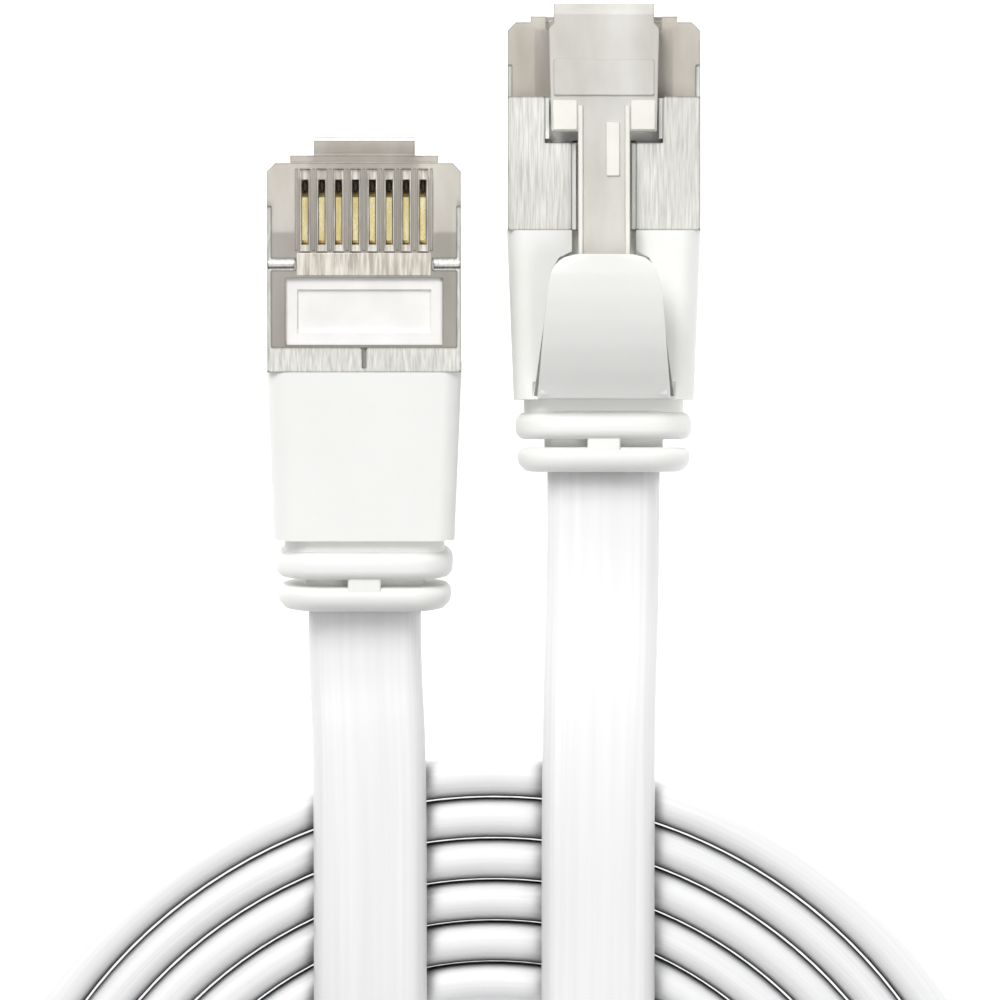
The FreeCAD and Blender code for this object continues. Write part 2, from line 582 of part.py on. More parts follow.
os.makedirs("parts", exist_ok=True)
for plug, placement in plug_placements().items():
    print_joint(plug, placement)
    for piece, shape in plug_pieces().items():
        placed = shape.copy()
        placed.Placement = placement.multiply(placed.Placement)
        write(plug + "_" + piece, placed)
wound = coil()
write("cable_coil", wound)
lead_a = lead(lead_a_points(), TWIST_A, lambda at: at.y < TWIST_A[1], "lead_a")
lead_b = lead(lead_b_points(), TWIST_B, lambda at: at.x < LEAD_B_X - 0.5 or at.y < TWIST_B[1], "lead_b")
write("cable_lead_a", largest(lead_a.cut(wound)))
write("cable_lead_b", largest(lead_b.cut(wound)))
print("coil length", round(coil_length(), 1))
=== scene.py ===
import math
import bmesh
import bpy
from mathutils import Matrix, Vector


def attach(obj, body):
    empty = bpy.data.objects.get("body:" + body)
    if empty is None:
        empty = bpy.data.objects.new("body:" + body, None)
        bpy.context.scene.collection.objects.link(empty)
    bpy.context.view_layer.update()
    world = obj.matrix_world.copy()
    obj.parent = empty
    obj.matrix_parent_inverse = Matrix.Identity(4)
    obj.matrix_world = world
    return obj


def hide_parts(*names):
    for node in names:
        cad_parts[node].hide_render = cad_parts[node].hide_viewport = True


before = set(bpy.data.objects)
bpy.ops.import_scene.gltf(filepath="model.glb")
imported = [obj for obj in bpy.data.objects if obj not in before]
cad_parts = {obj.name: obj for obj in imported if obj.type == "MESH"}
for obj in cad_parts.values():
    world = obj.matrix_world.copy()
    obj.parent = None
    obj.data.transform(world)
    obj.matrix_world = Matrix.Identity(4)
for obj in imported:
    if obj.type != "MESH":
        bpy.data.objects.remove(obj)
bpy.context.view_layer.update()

# A flat shielded patch cable: two clear modular plugs with metal shields and white boots, and one flat
# cable wound in a coil.  Lengths are millimetres in the tables and metres in the scene.
MM = 0.001
ROOT = "cable_and_plugs"

# ---- camera ----------------------------------------------------------------------------------------------
VIEW_WIDTH = 60.6
VIEW_CENTRE = (1.0, -11.7)
CAMERA_HEIGHT = 1000.0
FOCUS_HEIGHT = 8.0
SENSOR = 36.0

# ---- plugs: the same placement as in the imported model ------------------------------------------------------
PLUG_A_X, PLUG_B_X = -7.2, 7.3
PLUG_A_PITCH = math.radians(5.5)
PLUG_A_EXIT = Vector((PLUG_A_X, -18.2, 7.35))
EXIT_Y = -28.5
PLUG_B_NOSE_Y = 18.5
PLUG_B_Z = 4.0

# ---- cable -----------------------------------------------------------------------------------------------
CABLE_WIDTH = 6.85
CABLE_THICK = 2.38
COIL_X, COIL_Y = 1.04, -60.7
TURN_PITCH = 2.5
FIRST_RADIUS, FIRST_ANGLE = 19.7, 450.0
COIL_START, COIL_END = 294.0, 2330.0
POINTS_PER_TURN = 16
COIL_Z = CABLE_WIDTH / 2
LEAD_A_X, LEAD_B_X = -6.86, 6.94
OVER_COIL_Z = 8.06
INNER_BEND, OUTER_BEND = 11.0, 16.0
BEND_CORNERS = 4
OUTER_BEND_ANGLE = 2394.0
OUTER_BEND_Z = 10.4
CLIMB_HEIGHTS = [3.6, 5.6, 8.2, 10.1]
TWIST_A = (-45.5, -67.0)
TWIST_B = (-46.0, -71.0)
WOUND_RADII = (17.5, 36.0)
WOUND_TOP = 4.2

# ---- plug details, in each plug's own frame (nose at y = 0, cable towards -y, latch side up) ---------------
CONTACT_COUNT = 8
CONTACT_PITCH = 1.016
LATCH_START_Y, LATCH_START_Z = -1.3, 2.8
LATCH_SLOPE = 0.21
LATCH_THICK = 0.92
FLAP_FRONT_Y = -15.37
FLAP_LENGTH = 8.68
FLAP_FRONT_HALF = 2.98
FLAP_CORNER = 1.25
FLAP_THICK = 1.1
FLAP_AXIS = (-23.5, 4.5)
FLAP_ROOT_RADIUS = 0.55
COLLAR_ROUND = 2.6


def make_camera():
    data = bpy.data.cameras.new("camera")
    data.sensor_width = SENSOR
    data.lens = SENSOR * (CAMERA_HEIGHT - FOCUS_HEIGHT) / VIEW_WIDTH
    data.clip_end = 10.0
    camera = bpy.data.objects.new("camera", data)
    camera.location = (VIEW_CENTRE[0] * MM, VIEW_CENTRE[1] * MM, CAMERA_HEIGHT * MM)
    bpy.context.collection.objects.link(camera)
    bpy.context.scene.camera = camera


# ---- route of the cable ------------------------------------------------------------------------------------
def turn_radius(angle):
    return FIRST_RADIUS + TURN_PITCH * (angle - FIRST_ANGLE) / 360


def around(x, y, radius, angle, z):
    a = math.radians(angle)
    return (x + radius * math.cos(a), y + radius * math.sin(a), z)


def bend_corners(x, y, radius, start, stop, count, z):
    step = (stop - start) / count
    reach = radius / math.cos(math.radians(step / 2))
    return [around(x, y, reach, start + step * (i + 0.5), z) for i in range(count)]


def bend_centre(line_x, bend_radius, coil_radius, side):
    x = line_x - COIL_X + side * bend_radius
    reach = coil_radius - bend_radius
    return COIL_X + x, COIL_Y - math.sqrt(reach * reach - x * x)


def cable_route():
    exit_a = PLUG_A_EXIT
    first = exit_a - Vector((0, 3.4 * math.cos(PLUG_A_PITCH), 3.4 * math.sin(PLUG_A_PITCH)))
    points = [tuple(exit_a), tuple(first), (LEAD_A_X, -27.2, OVER_COIL_Z), (LEAD_A_X, -45.0, OVER_COIL_Z),
              (LEAD_A_X, -61.0, COIL_Z + 0.8)]
    x, y = bend_centre(LEAD_A_X, INNER_BEND, turn_radius(COIL_START), 1)
    points += bend_corners(x, y, INNER_BEND, 180, COIL_START, BEND_CORNERS, COIL_Z)
    count = round((COIL_END - COIL_START) / 360 * POINTS_PER_TURN)
    step = (COIL_END - COIL_START) / count
    for i in range(count):
        angle = COIL_START + step * (i + 0.5)
        reach = turn_radius(angle) / math.cos(math.radians(step / 2))
        points.append(around(COIL_X, COIL_Y, reach, angle, COIL_Z))
    climb = (OUTER_BEND_ANGLE - COIL_END) / len(CLIMB_HEIGHTS)
    for i, height in enumerate(CLIMB_HEIGHTS):
        angle = COIL_END + climb * (i + 0.5)
        reach = turn_radius(angle) / math.cos(math.radians(climb / 2))
        points.append(around(COIL_X, COIL_Y, reach, angle, height))
    x, y = bend_centre(LEAD_B_X, OUTER_BEND, turn_radius(OUTER_BEND_ANGLE), -1)
    points += bend_corners(x, y, OUTER_BEND, OUTER_BEND_ANGLE - 2160, 360, BEND_CORNERS, OUTER_BEND_Z)
    exit_y = PLUG_B_NOSE_Y + EXIT_Y
    points += [(LEAD_B_X, -63.5, OUTER_BEND_Z - 0.3), (LEAD_B_X, -45.5, OVER_COIL_Z),
               (LEAD_B_X, -26.4, OVER_COIL_Z), (PLUG_B_X, exit_y - 6.0, PLUG_B_Z),
               (PLUG_B_X, exit_y, PLUG_B_Z)]
    return [Vector(p) * MM for p in points]


def centreline(points):
    """The cable's smooth line: points read from one NURBS spline through the route."""
    data = bpy.data.curves.new("route", "CURVE")
    data.dimensions = "3D"
    spline = data.splines.new("NURBS")
    spline.points.add(len(points) - 1)
    for slot, point in zip(spline.points, points):
        slot.co = (*point, 1.0)
    spline.order_u = 3
    spline.use_endpoint_u = True
    spline.resolution_u = 8
    carrier = bpy.data.objects.new("route", data)
    mesh = bpy.data.meshes.new_from_object(carrier)
    line = [v.co.copy() for v in mesh.vertices]
    bpy.data.objects.remove(carrier)
    bpy.data.meshes.remove(mesh)
    return [p for i, p in enumerate(line) if i == 0 or (p - line[i - 1]).length > 1e-6]


def edge_roll(index, line):
    """0 where the cable lies flat, a quarter turn where it stands on edge."""
    y = line[index].y / MM
    far = len(line) / 2
    twist = TWIST_A if index < far else TWIST_B
    x = line[index].x / MM
    if y < twist[1] or (index > far and x < LEAD_B_X - 0.5) or in_wound_part(index):
        return math.pi / 2
    share = min(max((twist[0] - y) / (twist[0] - twist[1]), 0.0), 1.0)
    return math.pi / 2 * share * share * (3 - 2 * share)


def in_wound_part(index):
    """True between the first and last place where the cable meets the coil."""
    return WOUND_PART[0] < index < WOUND_PART[1]


def cable_section(count=40):
    """Flat section with round edges and four faint ribs where the wire pairs lie."""
    r = CABLE_THICK / 2
    reach = CABLE_WIDTH / 2 - r
    ring = []
    for i in range(count):
        a = 2 * math.pi * i / count
        bend = math.copysign(abs(math.cos(a)) ** 0.62, math.cos(a))
        across = (reach + r) * bend
        over = max(0.0, abs(across) - reach)
        height = math.sqrt(max(r * r - over * over, 0.0))
        rib = 0.035 * (math.cos(across * 2 * math.pi / 1.45) - 1) * (1 if over == 0 else 0)
        ring.append((across, math.copysign(height + rib, math.sin(a)) if abs(math.sin(a)) > 1e-9 else 0.0))
    return ring


def add_mesh(name, verts, faces, smooth=True):
    mesh = bpy.data.meshes.new(name)
    mesh.from_pydata(verts, [], faces)
    mesh.update()
    if smooth:
        mesh.shade_smooth()
    obj = bpy.data.objects.new(name, mesh)
    bpy.context.collection.objects.link(obj)
    return obj


def make_cable(line):
    section = cable_section()
    n = len(section)
    verts, faces, run = [], [], [0.0]
    for i, at in enumerate(line):
        ahead = line[min(i + 1, len(line) - 1)] - line[max(i - 1, 0)]
        along = ahead.normalized()
        level = along.cross(Vector((0, 0, 1))).normalized()
        upright = level.cross(along)
        roll = edge_roll(i, line)
        wide = level * math.cos(roll) + upright * math.sin(roll)
        thin = along.cross(wide)
        verts += [at + (wide * a + thin * b) * MM for a, b in section]
        if i:
            run.append(run[-1] + (at - line[i - 1]).length)
    for i in range(len(line) - 1):
        for k in range(n):
            j = (k + 1) % n
            faces.append((i * n + k, (i + 1) * n + k, (i + 1) * n + j, i * n + j))
    faces.append(tuple(range(n)))
    faces.append(tuple(reversed(range((len(line) - 1) * n, len(line) * n))))
    cable = add_mesh("flat_cable", verts, faces)
    layer = cable.data.uv_layers.new(name="along")
    for face in cable.data.polygons:
        for loop in face.loop_indices:
            v = cable.data.loops[loop].vertex_index
            u = (v % n) / n
            if face.index < (len(line) - 1) * n and face.index % n == n - 1 and u == 0:
                u = 1.0
            layer.data[loop].uv = (u, run[v // n] / MM)
    return cable


# ---- materials ---------------------------------------------------------------------------------------------
def new_material(name, colour, roughness, metallic=0.0):
    m = bpy.data.materials.new(name)
    m.use_nodes = True
    shader = m.node_tree.nodes["Principled BSDF"]
    shader.inputs["Base Color"].default_value = (*colour, 1)
    shader.inputs["Roughness"].default_value = roughness
    shader.inputs["Metallic"].default_value = metallic
    return m, m.node_tree, shader


def noise(tree, scale, stretch=(1, 1, 1), detail=3.0, source="Object"):
    nodes, links = tree.nodes, tree.links
    place = nodes.new("ShaderNodeTexCoord")
    mapping = nodes.new("ShaderNodeMapping")
    mapping.inputs["Scale"].default_value = stretch
    texture = nodes.new("ShaderNodeTexNoise")
    texture.inputs["Scale"].default_value = scale
    texture.inputs["Detail"].default_value = detail
    links.new(place.outputs[source], mapping.inputs["Vector"])
    links.new(mapping.outputs["Vector"], texture.inputs["Vector"])
    return texture.outputs["Fac"]


def ramp(tree, value, low, high, start=0.3, stop=0.7):
    node = tree.nodes.new("ShaderNodeValToRGB")
    node.color_ramp.elements[0].position = start
    node.color_ramp.elements[1].position = stop
    node.color_ramp.elements[0].color = (*low, 1)
    node.color_ramp.elements[1].color = (*high, 1)
    tree.links.new(value, node.inputs["Fac"])
    return node.outputs["Color"]


def rough_range(tree, shader, value, low, high):
    node = tree.nodes.new("ShaderNodeMapRange")
    node.inputs["To Min"].default_value = low
    node.inputs["To Max"].default_value = high
    tree.links.new(value, node.inputs["Value"])
    tree.links.new(node.outputs["Result"], shader.inputs["Roughness"])


def bump(tree, shader, value, strength, distance):
    node = tree.nodes.new("ShaderNodeBump")
    node.inputs["Strength"].default_value = strength
    node.inputs["Distance"].default_value = distance
    tree.links.new(value, node.inputs["Height"])
    tree.links.new(node.outputs["Normal"], shader.inputs["Normal"])


def paint_edge_shade(tree, shader, colour, reach, darkest, inside=True):
    """Paints shade into a colour: darker near a solid's outer edges, or with inside off, in the creases between
    surfaces.
    """
    depth = tree.nodes.new("ShaderNodeAmbientOcclusion")
    depth.inside = inside
    depth.only_local = True
    depth.samples = 6
    depth.inputs["Distance"].default_value = reach * MM
    shade = tree.nodes.new("ShaderNodeMapRange")
    shade.inputs["From Min"].default_value = 0.35
    shade.inputs["From Max"].default_value = 0.85
    shade.inputs["To Min"].default_value = darkest
    tree.links.new(depth.outputs["AO"], shade.inputs["Value"])
    mix = tree.nodes.new("ShaderNodeVectorMath")
    mix.operation = "SCALE"
    tree.links.new(colour, mix.inputs[0])
    tree.links.new(shade.outputs["Result"], mix.inputs["Scale"])
    tree.links.new(mix.outputs["Vector"], shader.inputs["Base Color"])


def clear_plastic(name, clearness, low, high):
    m, tree, shader = new_material(name, high, 0.1)
    shader.inputs["Transmission Weight"].default_value = clearness
    shader.inputs["IOR"].default_value = 1.5
    flow = noise(tree, 420, (1, 0.25, 1))
    tone = ramp(tree, flow, low, high)
    # Painted shade: darker lines along the clear plastic's edges.
    paint_edge_shade(tree, shader, tone, 0.12, 0.3)
    rough_range(tree, shader, flow, 0.08, 0.22)
    bump(tree, shader, flow, 0.25, 0.00005)
    return m


def gold_plate():
    m, tree, shader = new_material("gold_plate", (1.0, 0.84, 0.42), 0.25, 1.0)
    grain = noise(tree, 4000, (1, 0.1, 1))
    tree.links.new(ramp(tree, grain, (0.93, 0.76, 0.34), (1.0, 0.9, 0.55)), shader.inputs["Base Color"])
    rough_range(tree, shader, grain, 0.18, 0.34)
    return m


def shield_metal():
    m, tree, shader = new_material("shield_metal", (0.78, 0.76, 0.73), 0.35, 1.0)
    grain = noise(tree, 9000, (1, 0.05, 1), 4.0)
    cloud = noise(tree, 180, (1, 0.6, 1), 2.0)
    tone = ramp(tree, grain, (0.58, 0.565, 0.52), (0.86, 0.85, 0.82))
    # Painted shade: darker outlines along the shield's sheet edges.
    paint_edge_shade(tree, shader, tone, 0.17, 0.1)
    rough_range(tree, shader, cloud, 0.28, 0.45)
    bump(tree, shader, grain, 0.2, 0.00002)
    return m


def boot_plastic():
    m, tree, shader = new_material("boot_plastic", (0.85, 0.85, 0.83), 0.5)
    cloud = noise(tree, 120)
    grain = noise(tree, 6000, detail=2.0)
    tree.links.new(ramp(tree, cloud, (0.83, 0.835, 0.81), (0.86, 0.862, 0.84)), shader.inputs["Base Color"])
    rough_range(tree, shader, cloud, 0.42, 0.58)
    bump(tree, shader, grain, 0.12, 0.00003)
    shader.inputs["Subsurface Weight"].default_value = 0.15
    shader.inputs["Subsurface Radius"].default_value = (0.0012, 0.0011, 0.001)
    return m


def cable_jacket():
    m, tree, shader = new_material("cable_jacket", (0.78, 0.78, 0.78), 0.35)
    streak = noise(tree, 1.0, (46.0, 0.035, 1), 3.0, "UV")
    tone = ramp(tree, streak, (0.75, 0.75, 0.755), (0.82, 0.82, 0.825))
    # Painted shade: the jacket is drawn darker in the creases between coil turns and where the leads lie on the
    # coil.
    paint_edge_shade(tree, shader, tone, 1.1, 0.12, False)
    rough_range(tree, shader, streak, 0.36, 0.5)
    bump(tree, shader, streak, 0.2, 0.00005)
    shader.inputs["Subsurface Weight"].default_value = 0.1
    shader.inputs["Subsurface Radius"].default_value = (0.001, 0.001, 0.001)
    return m


def foil():
    m, tree, shader = new_material("foil", (0.8, 0.81, 0.83), 0.3, 1.0)
    bump(tree, shader, noise(tree, 900), 0.4, 0.0001)
    return m


def smooth_plastic(name, colour, roughness=0.35):
    m, tree, shader = new_material(name, colour, roughness)
    cloud = noise(tree, 500)
    low = tuple(c * 0.93 for c in colour)
    tree.links.new(ramp(tree, cloud, low, colour), shader.inputs["Base Color"])
    rough_range(tree, shader, cloud, roughness - 0.06, roughness + 0.08)
    return m


def striped_plastic():
    """Clear plastic over the wires: thin lengthwise stripes of warm and cool tints."""
    m, tree, shader = new_material("wires_through_plastic", (0.52, 0.48, 0.41), 0.2)
    fine = noise(tree, 5200, (1, 0.04, 1), 2.0)
    tone = ramp(tree, fine, (0.46, 0.415, 0.35), (0.8, 0.765, 0.69), 0.35, 0.65)
    tree.links.new(tone, shader.inputs["Base Color"])
    rough_range(tree, shader, fine, 0.15, 0.3)
    return m


WIRE_COLOURS = {"white_orange": (0.9, 0.62, 0.4), "orange": (0.9, 0.33, 0.04),
                "white_green": (0.55, 0.8, 0.55), "blue": (0.06, 0.16, 0.6),
                "white_blue": (0.5, 0.62, 0.88), "green": (0.05, 0.42, 0.12),
                "white_brown": (0.75, 0.58, 0.44), "brown": (0.3, 0.13, 0.05)}


def paint(obj, material):
    if obj.material_slots:
        for slot in obj.material_slots:
            slot.link = "OBJECT"
            slot.material = material
    else:
        obj.data.materials.append(material)


def soften(obj, width, segments=3, angle=35):
    bevel = obj.modifiers.new("edge", "BEVEL")
    bevel.width = width * MM
    bevel.segments = segments
    bevel.limit_method = "ANGLE"
    bevel.angle_limit = math.radians(angle)
    bevel.use_clamp_overlap = True


def make_world():
    """Soft studio: bright overhead and towards the plugs' noses, darker low down and behind the coil."""
    world = bpy.data.worlds.new("studio")
    world.use_nodes = True
    tree = world.node_tree
    place = tree.nodes.new("ShaderNodeTexCoord")
    facing = tree.nodes.new("ShaderNodeVectorMath")
    facing.operation = "DOT_PRODUCT"
    facing.inputs[1].default_value = (0.0, 0.5, 0.866)
    tree.links.new(place.outputs["Generated"], facing.inputs[0])
    tone = ramp(tree, facing.outputs["Value"], (0.03, 0.03, 0.03), (0.62, 0.62, 0.62), 0.1, 0.9)
    tree.links.new(tone, tree.nodes["Background"].inputs["Color"])
    tree.nodes["Background"].inputs["Strength"].default_value = 1.0
    bpy.context.scene.world = world


def area_light(name, at, aim, size, power):
    data = bpy.data.lights.new(name, "AREA")
    data.shape = "DISK"
    data.size = size
    data.energy = power
    lamp = bpy.data.objects.new(name, data)
    lamp.location = at
    lamp.rotation_euler = (Vector(aim) - Vector(at)).to_track_quat("-Z", "Y").to_euler()
    bpy.context.collection.objects.link(lamp)


def make_floor():
    mesh = bpy.data.meshes.new("floor")
    mesh.from_pydata([(-3, -3, 0), (3, -3, 0), (3, 3, 0), (-3, 3, 0)], [], [(0, 1, 2, 3)])
    floor = bpy.data.objects.new("floor", mesh)
    floor.location.z = -0.0002
    bpy.context.collection.objects.link(floor)
    m, tree, shader = new_material("floor_paper", (0.95, 0.95, 0.95), 0.9)
    tone = ramp(tree, noise(tree, 20), (0.94, 0.94, 0.94), (0.96, 0.96, 0.96))
    tree.links.new(tone, shader.inputs["Base Color"])
    shader.inputs["Emission Color"].default_value = (1, 1, 1, 1)
    shader.inputs["Emission Strength"].default_value = 0.6
    mesh.materials.append(m)


# ---- plug pieces built here, in each plug's own frame ------------------------------------------------------
def plug_matrix(plug):
    if plug == "plug_b":
        return Matrix.Translation(Vector((PLUG_B_X, PLUG_B_NOSE_Y, PLUG_B_Z)) * MM)
    turned = Matrix.Rotation(PLUG_A_PITCH, 4, "X") @ Matrix.Rotation(math.pi, 4, "Y")
    base = PLUG_A_EXIT - turned @ Vector((0, EXIT_Y, 0))
    return Matrix.Translation(base * MM) @ turned


def rounded_ring(half_width, z0, z1, radius, y, steps=8):
    ring = []
    corners = [(half_width - radius, z0 + radius, -90), (half_width - radius, z1 - radius, 0),
               (-half_width + radius, z1 - radius, 90), (-half_width + radius, z0 + radius, 180)]
    for x, z, start in corners:
        for i in range(steps + 1):
            a = math.radians(start + 90 * i / steps)
            ring.append(Vector((x + radius * math.cos(a), y, z + radius * math.sin(a))))
    return ring


def add_loft(verts, faces, rings):
    """Adds a closed skin through rings of equal point count."""
    base, n = len(verts), len(rings[0])
    for ring in rings:
        verts += ring
    for i in range(len(rings) - 1):
        for k in range(n):
            j = (k + 1) % n
            faces.append((base + i * n + k, base + i * n + j, base + (i + 1) * n + j, base + (i + 1) * n + k))
    faces.append(tuple(base + k for k in reversed(range(n))))
    faces.append(tuple(base + (len(rings) - 1) * n + k for k in range(n)))


def finish_piece(name, plug, verts, faces, body, material, replaced):
    matrix = plug_matrix(plug)
    piece = add_mesh(plug + "_" + name, [matrix @ (Vector(v) * MM) for v in verts], faces)
    fix = bmesh.new()
    fix.from_mesh(piece.data)
    bmesh.ops.recalc_face_normals(fix, faces=fix.faces)
    fix.to_mesh(piece.data)
    fix.free()
    piece.data.set_sharp_from_angle(angle=math.radians(35))
    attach(piece, body)
    if replaced:
        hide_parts(plug + "_" + replaced)
    paint(piece, material)
    return piece


def collar_rings(front, rear, half_width, half_height, front_round, rear_round):
    """A collar with rounded rims; the rear rim can be rounder, as on the last collar."""
    rings = []
    for share in (0.0, 0.3, 0.7, 1.0):
        a = share * math.pi / 2
        inset = front_round * (1 - math.sin(a))
        rings.append((front - front_round * (1 - math.cos(a)), inset))
    for share in (0.0, 0.3, 0.7, 1.0):
        a = share * math.pi / 2
        inset = rear_round * (1 - math.cos(a))
        rings.append((rear + rear_round * (1 - math.sin(a)), inset))
    return [rounded_ring(half_width - i, -half_height + i, half_height - i, COLLAR_ROUND - min(i, 1.5), y)
            for y, i in rings]


def strain_relief(plug, material):
    verts, faces = [], []
    add_loft(verts, faces, [rounded_ring(4.85, -3.1, 3.1, 1.6, y) for y in (-24.0, -25.6)])
    add_loft(verts, faces, [rounded_ring(3.6, -2.0, 2.0, 1.1, y) for y in (-24.5, -28.3)])
    add_loft(verts, faces, collar_rings(-24.85, -26.5, 5.35, 3.8, 0.6, 0.55))
    add_loft(verts, faces, collar_rings(-27.0, -28.5, 5.25, 3.5, 0.45, 0.85))
    add_loft(verts, faces, [rounded_ring(1.0, -3.45, 3.45, 0.15, y) for y in (-26.2, -27.6)])
    piece = finish_piece("collars", plug, verts, faces, ROOT, material, "strain_relief")
    soften(piece, 0.12, 2, 60)


FLAP_LINE = [(FLAP_FRONT_Y, 8.6), (-16.6, 8.52), (-18.0, 8.22), (-19.5, 7.72), (-21.0, 7.02), (-22.3, 6.2),
             (-23.4, 5.35), (-24.05, 4.9)]


def rod_rings(x0, x1, y, z, radius_y, radius_z, count=24):
    """Rings of a round or oval rod that lies across the plug."""
    angles = [2 * math.pi * k / count for k in range(count)]
    return [[Vector((x, y + radius_y * math.cos(a), z + radius_z * math.sin(a))) for a in angles]
            for x in (x0, x1)]


def flap_half(y):
    """Half width of the flap: rounded front corners, then a slow flare to the rear."""
    gone = FLAP_FRONT_Y - y
    along = gone / FLAP_LENGTH
    half = FLAP_FRONT_HALF + 0.32 * min(along / 0.25, 1.0) + 0.73 * along
    if gone < FLAP_CORNER:
        half -= FLAP_CORNER * (1 - math.sqrt(max(1 - ((FLAP_CORNER - gone) / FLAP_CORNER) ** 2, 0.0)))
    return half


def flap(plug, material):
    verts, faces = [], []
    across = 14
    stations = [FLAP_LINE[0]]
    for (y0, z0), (y1, z1) in zip(FLAP_LINE, FLAP_LINE[1:]):
        cuts = 6 if y0 > -16 else 3
        stations += [(y0 + (y1 - y0) * (i + 1) / cuts, z0 + (z1 - z0) * (i + 1) / cuts) for i in range(cuts)]
    for y, z in stations:
        half = flap_half(y)
        shares = [2 * i / across - 1 for i in range(across + 1)]
        top = [Vector((half * share, y, z - 0.25 * share ** 4)) for share in shares]
        low = [Vector((v.x, y, z - FLAP_THICK)) for v in reversed(top)]
        verts += top + low
    n = 2 * (across + 1)
    for i in range(len(stations) - 1):
        for k in range(n):
            j = (k + 1) % n
            faces.append((i * n + k, i * n + j, (i + 1) * n + j, (i + 1) * n + k))
    faces.append(tuple(reversed(range(n))))
    faces.append(tuple((len(stations) - 1) * n + k for k in range(n)))
    add_loft(verts, faces, [rounded_ring(1.2, 7.0, 7.8, 0.1, y) for y in (-16.0, -16.6)])
    add_loft(verts, faces, rod_rings(-3.85, 3.85, *FLAP_AXIS, FLAP_ROOT_RADIUS, FLAP_ROOT_RADIUS))
    body = plug + "_boot_flap"
    piece = finish_piece("flap_skin", plug, verts, faces, body, material, "boot_flap")
    soften(piece, 0.28, 4, 50)


def slope_bar(x0, x1, y0, y1, lift0, lift1):
    """Rings of a bar that lies on the sloping latch, lifted above its top surface."""
    rings = []
    for y in (y0, y1):
        top = LATCH_START_Z + LATCH_SLOPE * (LATCH_START_Y - y) + LATCH_THICK
        corners = ((x0, lift0), (x1, lift0), (x1, lift1), (x0, lift1))
        rings.append([Vector((x, y, top + lift)) for x, lift in corners])
    return rings


def latch_step(plug, material):
    """Raised step across the wide part of the latch."""
    verts, faces = [], []
    add_loft(verts, faces, slope_bar(-3.05, 3.05, -3.5, -5.7, -0.1, 0.14))
    piece = finish_piece("latch_step", plug, verts, faces, plug + "_latch", material, None)
    soften(piece, 0.07, 2, 50)


def latch_highlight_trim(plug, material):
    """Shoulder pads, side rims and raised pad of the latch's upper surface, in a light cream finish that paints
    in the clear latch's highlights.
    """
    verts, faces = [], []
    for side in (-1, 1):
        add_loft(verts, faces, slope_bar(*sorted((side * 1.62, side * 3.1)), -5.95, -7.8, -0.1, 0.1))
        add_loft(verts, faces, slope_bar(*sorted((side * 1.28, side * 1.56)), -6.3, -16.8, -0.1, 0.2))
    # Painted highlight: this raised pad carries the reflection block seen on the lever.
    add_loft(verts, faces, slope_bar(0.12, 0.95, -7.3, -10.6, -0.1, 0.16))
    piece = finish_piece("latch_highlight_trim", plug, verts, faces, plug + "_latch", material, None)
    soften(piece, 0.07, 2, 50)


def contact_places():
    """The x of each contact, from contact 1 on the +x side."""
    return [((CONTACT_COUNT - 1) / 2 - i) * CONTACT_PITCH for i in range(CONTACT_COUNT)]


def plate_rings(x0, x1, z0, z1, front, rear):
    return [[Vector((x, y, z)) for x, z in ((x0, z0), (x1, z0), (x1, z1), (x0, z1))] for y in (front, rear)]


def nose_ribs(plug, material):
    """Fine ribs moulded on the contact side, between the contact slots."""
    verts, faces = [], []
    for i in range(CONTACT_COUNT + 1):
        x = (i - CONTACT_COUNT / 2) * CONTACT_PITCH
        add_loft(verts, faces, plate_rings(x - 0.09, x + 0.09, -4.06, -3.9, -1.5, -6.5))
    piece = finish_piece("nose_ribs", plug, verts, faces, ROOT, material, None)
    soften(piece, 0.04, 2, 50)


def wire_window(plug, material):
    """Where the wires show through the contact side, between the slots and the clamp bar."""
    verts, faces = [], []
    add_loft(verts, faces, plate_rings(-4.05, 4.05, -4.03, -3.9, -6.62, -8.0))
    piece = finish_piece("wire_window", plug, verts, faces, ROOT, material, None)
    soften(piece, 0.05, 2, 50)


def slot_liners(plug, material):
    """Plastic beside and behind each contact blade, inside its slot."""
    verts, faces = [], []
    for x in contact_places():
        for side in (-1, 1):
            edges = sorted((x + side * 0.22, x + side * 0.3))
            add_loft(verts, faces, plate_rings(*edges, -3.9, -2.0, -1.6, -6.55))
        add_loft(verts, faces, plate_rings(x - 0.22, x + 0.22, -3.8, -2.0, -6.15, -6.55))
        add_loft(verts, faces, plate_rings(x - 0.22, x + 0.22, -3.8, -2.0, -1.6, -2.2))
    finish_piece("slot_liners", plug, verts, faces, ROOT, material, None)


def hook_rolls(plug, material):
    """Rolled edges of the two short shield strips that reach round to the contact side."""
    verts, faces = [], []
    for side in (-1, 1):
        add_loft(verts, faces, rod_rings(*sorted((side * 4.2, side * 5.8)), -7.33, -3.79, 0.36, 0.29))
    finish_piece("hook_rolls", plug, verts, faces, ROOT, material, None)


def channel_floor(plug, material):
    """Floor and side walls of the channel that the latch moves in, light cream: painted light that keeps the
    shaded channel bright, and painted highlights along the lever's edges.
    """
    verts, faces = [], []
    add_loft(verts, faces, plate_rings(-1.93, 1.93, 2.5, 2.66, -8.4, -13.8))
    add_loft(verts, faces, plate_rings(-3.55, 3.55, 2.5, 2.66, -5.8, -8.5))
    for side in (-1, 1):
        add_loft(verts, faces, plate_rings(*sorted((side * 1.7, side * 1.93)), 2.6, 3.95, -8.6, -13.8))
        add_loft(verts, faces, plate_rings(*sorted((side * 3.33, side * 3.55)), 2.6, 3.95, -5.85, -8.3))
    finish_piece("channel_floor", plug, verts, faces, ROOT, material, None)


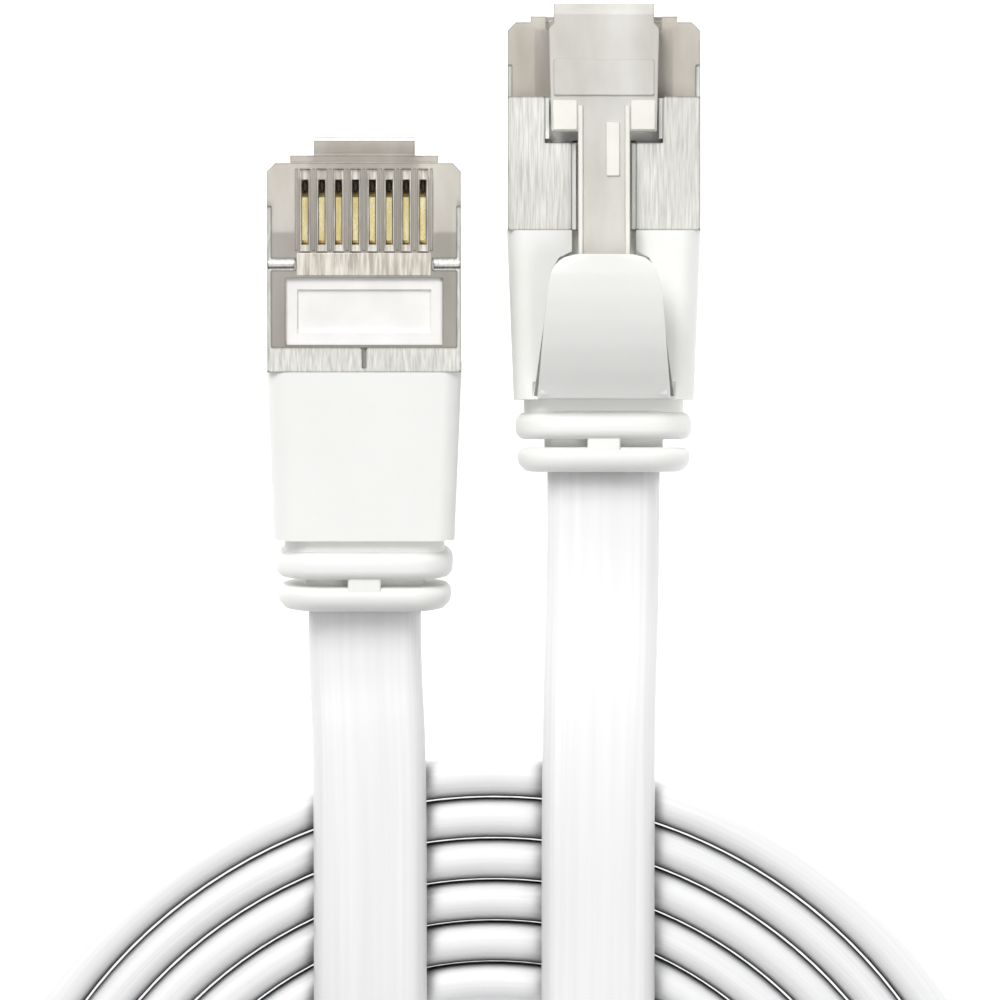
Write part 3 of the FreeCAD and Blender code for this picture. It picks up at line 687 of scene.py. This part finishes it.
def painted_slot_shade(plug, material):
    """Painted shade: a near-black piece in the mouth of each contact slot, in front of the blade, where the
    slot lies in shade.
    """
    verts, faces = [], []
    for x in contact_places():
        rings = []
        for y, half in ((-2.3, 0.05), (-2.42, 0.13), (-2.65, 0.17), (-2.85, 0.13), (-2.93, 0.05)):
            rings.append([Vector((x + half * math.cos(a), y, -3.3 + 0.12 * math.sin(a)))
                          for a in (2 * math.pi * k / 12 for k in range(12))])
        add_loft(verts, faces, rings)
    finish_piece("painted_slot_shadows", plug, verts, faces, ROOT, material, None)


make_camera()
ROUTE = cable_route()
LINE = centreline(ROUTE)


def wound_part(line):
    """Line indices where the wound part starts and stops."""
    centre = Vector((COIL_X, COIL_Y, 0)) * MM
    low, high = (radius * MM for radius in WOUND_RADII)
    inside = [i for i, p in enumerate(line)
              if low < (p.xy - centre.xy).length < high and p.z < WOUND_TOP * MM]
    return inside[0], inside[-1]


WOUND_PART = wound_part(LINE)
cable = make_cable(LINE)
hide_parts("cable_coil", "cable_lead_a", "cable_lead_b")
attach(cable, ROOT)

jacket = cable_jacket()
paint(cable, jacket)
FINISHES = {"housing": clear_plastic("clear_plastic", 0.45, (0.58, 0.54, 0.475), (0.78, 0.745, 0.685)),
            "contacts": gold_plate(), "shield": shield_metal(), "foil_wrap": foil(),
            "wire_guide": smooth_plastic("guide_plastic", (0.85, 0.85, 0.83)),
            "clamp_bar": smooth_plastic("white_plastic", (0.88, 0.87, 0.85)),
            "boot": boot_plastic(), "jacket_end": jacket}
# Painted light: the latch gets a lighter, less clear copy of the clear plastic, to offset the shade seen
# through it from the interior below.
FINISHES["latch"] = clear_plastic("lightened_latch_plastic", 0.4, (0.74, 0.72, 0.66), (0.92, 0.905, 0.86))
FINISHES["boot_flap"] = FINISHES["strain_relief"] = FINISHES["boot"]
for colour, rgb in WIRE_COLOURS.items():
    FINISHES["wire_" + colour] = smooth_plastic("wire_" + colour, rgb, 0.4)
SOFTEN = {"housing": 0.12, "latch": 0.12, "contacts": 0.05, "shield": 0.08, "clamp_bar": 0.1, "boot": 0.25}
striped = striped_plastic()
# Light cream finish that paints the clear latch's highlights onto its trim.
latch_highlight_finish = smooth_plastic("latch_highlight_plastic", (0.74, 0.725, 0.67))
# Near-black finish that paints the shade inside the contact slots.
slot_shade_finish = smooth_plastic("slot_shadow", (0.03, 0.022, 0.01), 0.5)
for plug in ("plug_a", "plug_b"):
    for piece, finish in FINISHES.items():
        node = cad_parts[plug + "_" + piece]
        paint(node, finish)
        if piece in SOFTEN:
            soften(node, SOFTEN[piece])
    strain_relief(plug, FINISHES["boot"])
    flap(plug, FINISHES["boot"])
    painted_slot_shade(plug, slot_shade_finish)
    latch_step(plug, FINISHES["latch"])
    latch_highlight_trim(plug, latch_highlight_finish)
    nose_ribs(plug, FINISHES["housing"])
    wire_window(plug, striped)
    slot_liners(plug, striped)
    hook_rolls(plug, FINISHES["shield"])
    channel_floor(plug, FINISHES["wire_guide"])
for node in ("cable_coil", "cable_lead_a", "cable_lead_b"):
    paint(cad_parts[node], jacket)

make_world()
area_light("top", (-0.3, 0.5, 0.95), (0, -0.03, 0), 0.4, 4.2)
area_light("key", (-0.25, 0.6, 0.65), (0, -0.03, 0), 0.3, 2.8)
area_light("fill", (0.35, -0.3, 0.85), (0, -0.01, 0), 0.5, 2.6)
make_floor()
bpy.context.scene.view_settings.view_transform = "Standard"

bpy.context.view_layer.update()
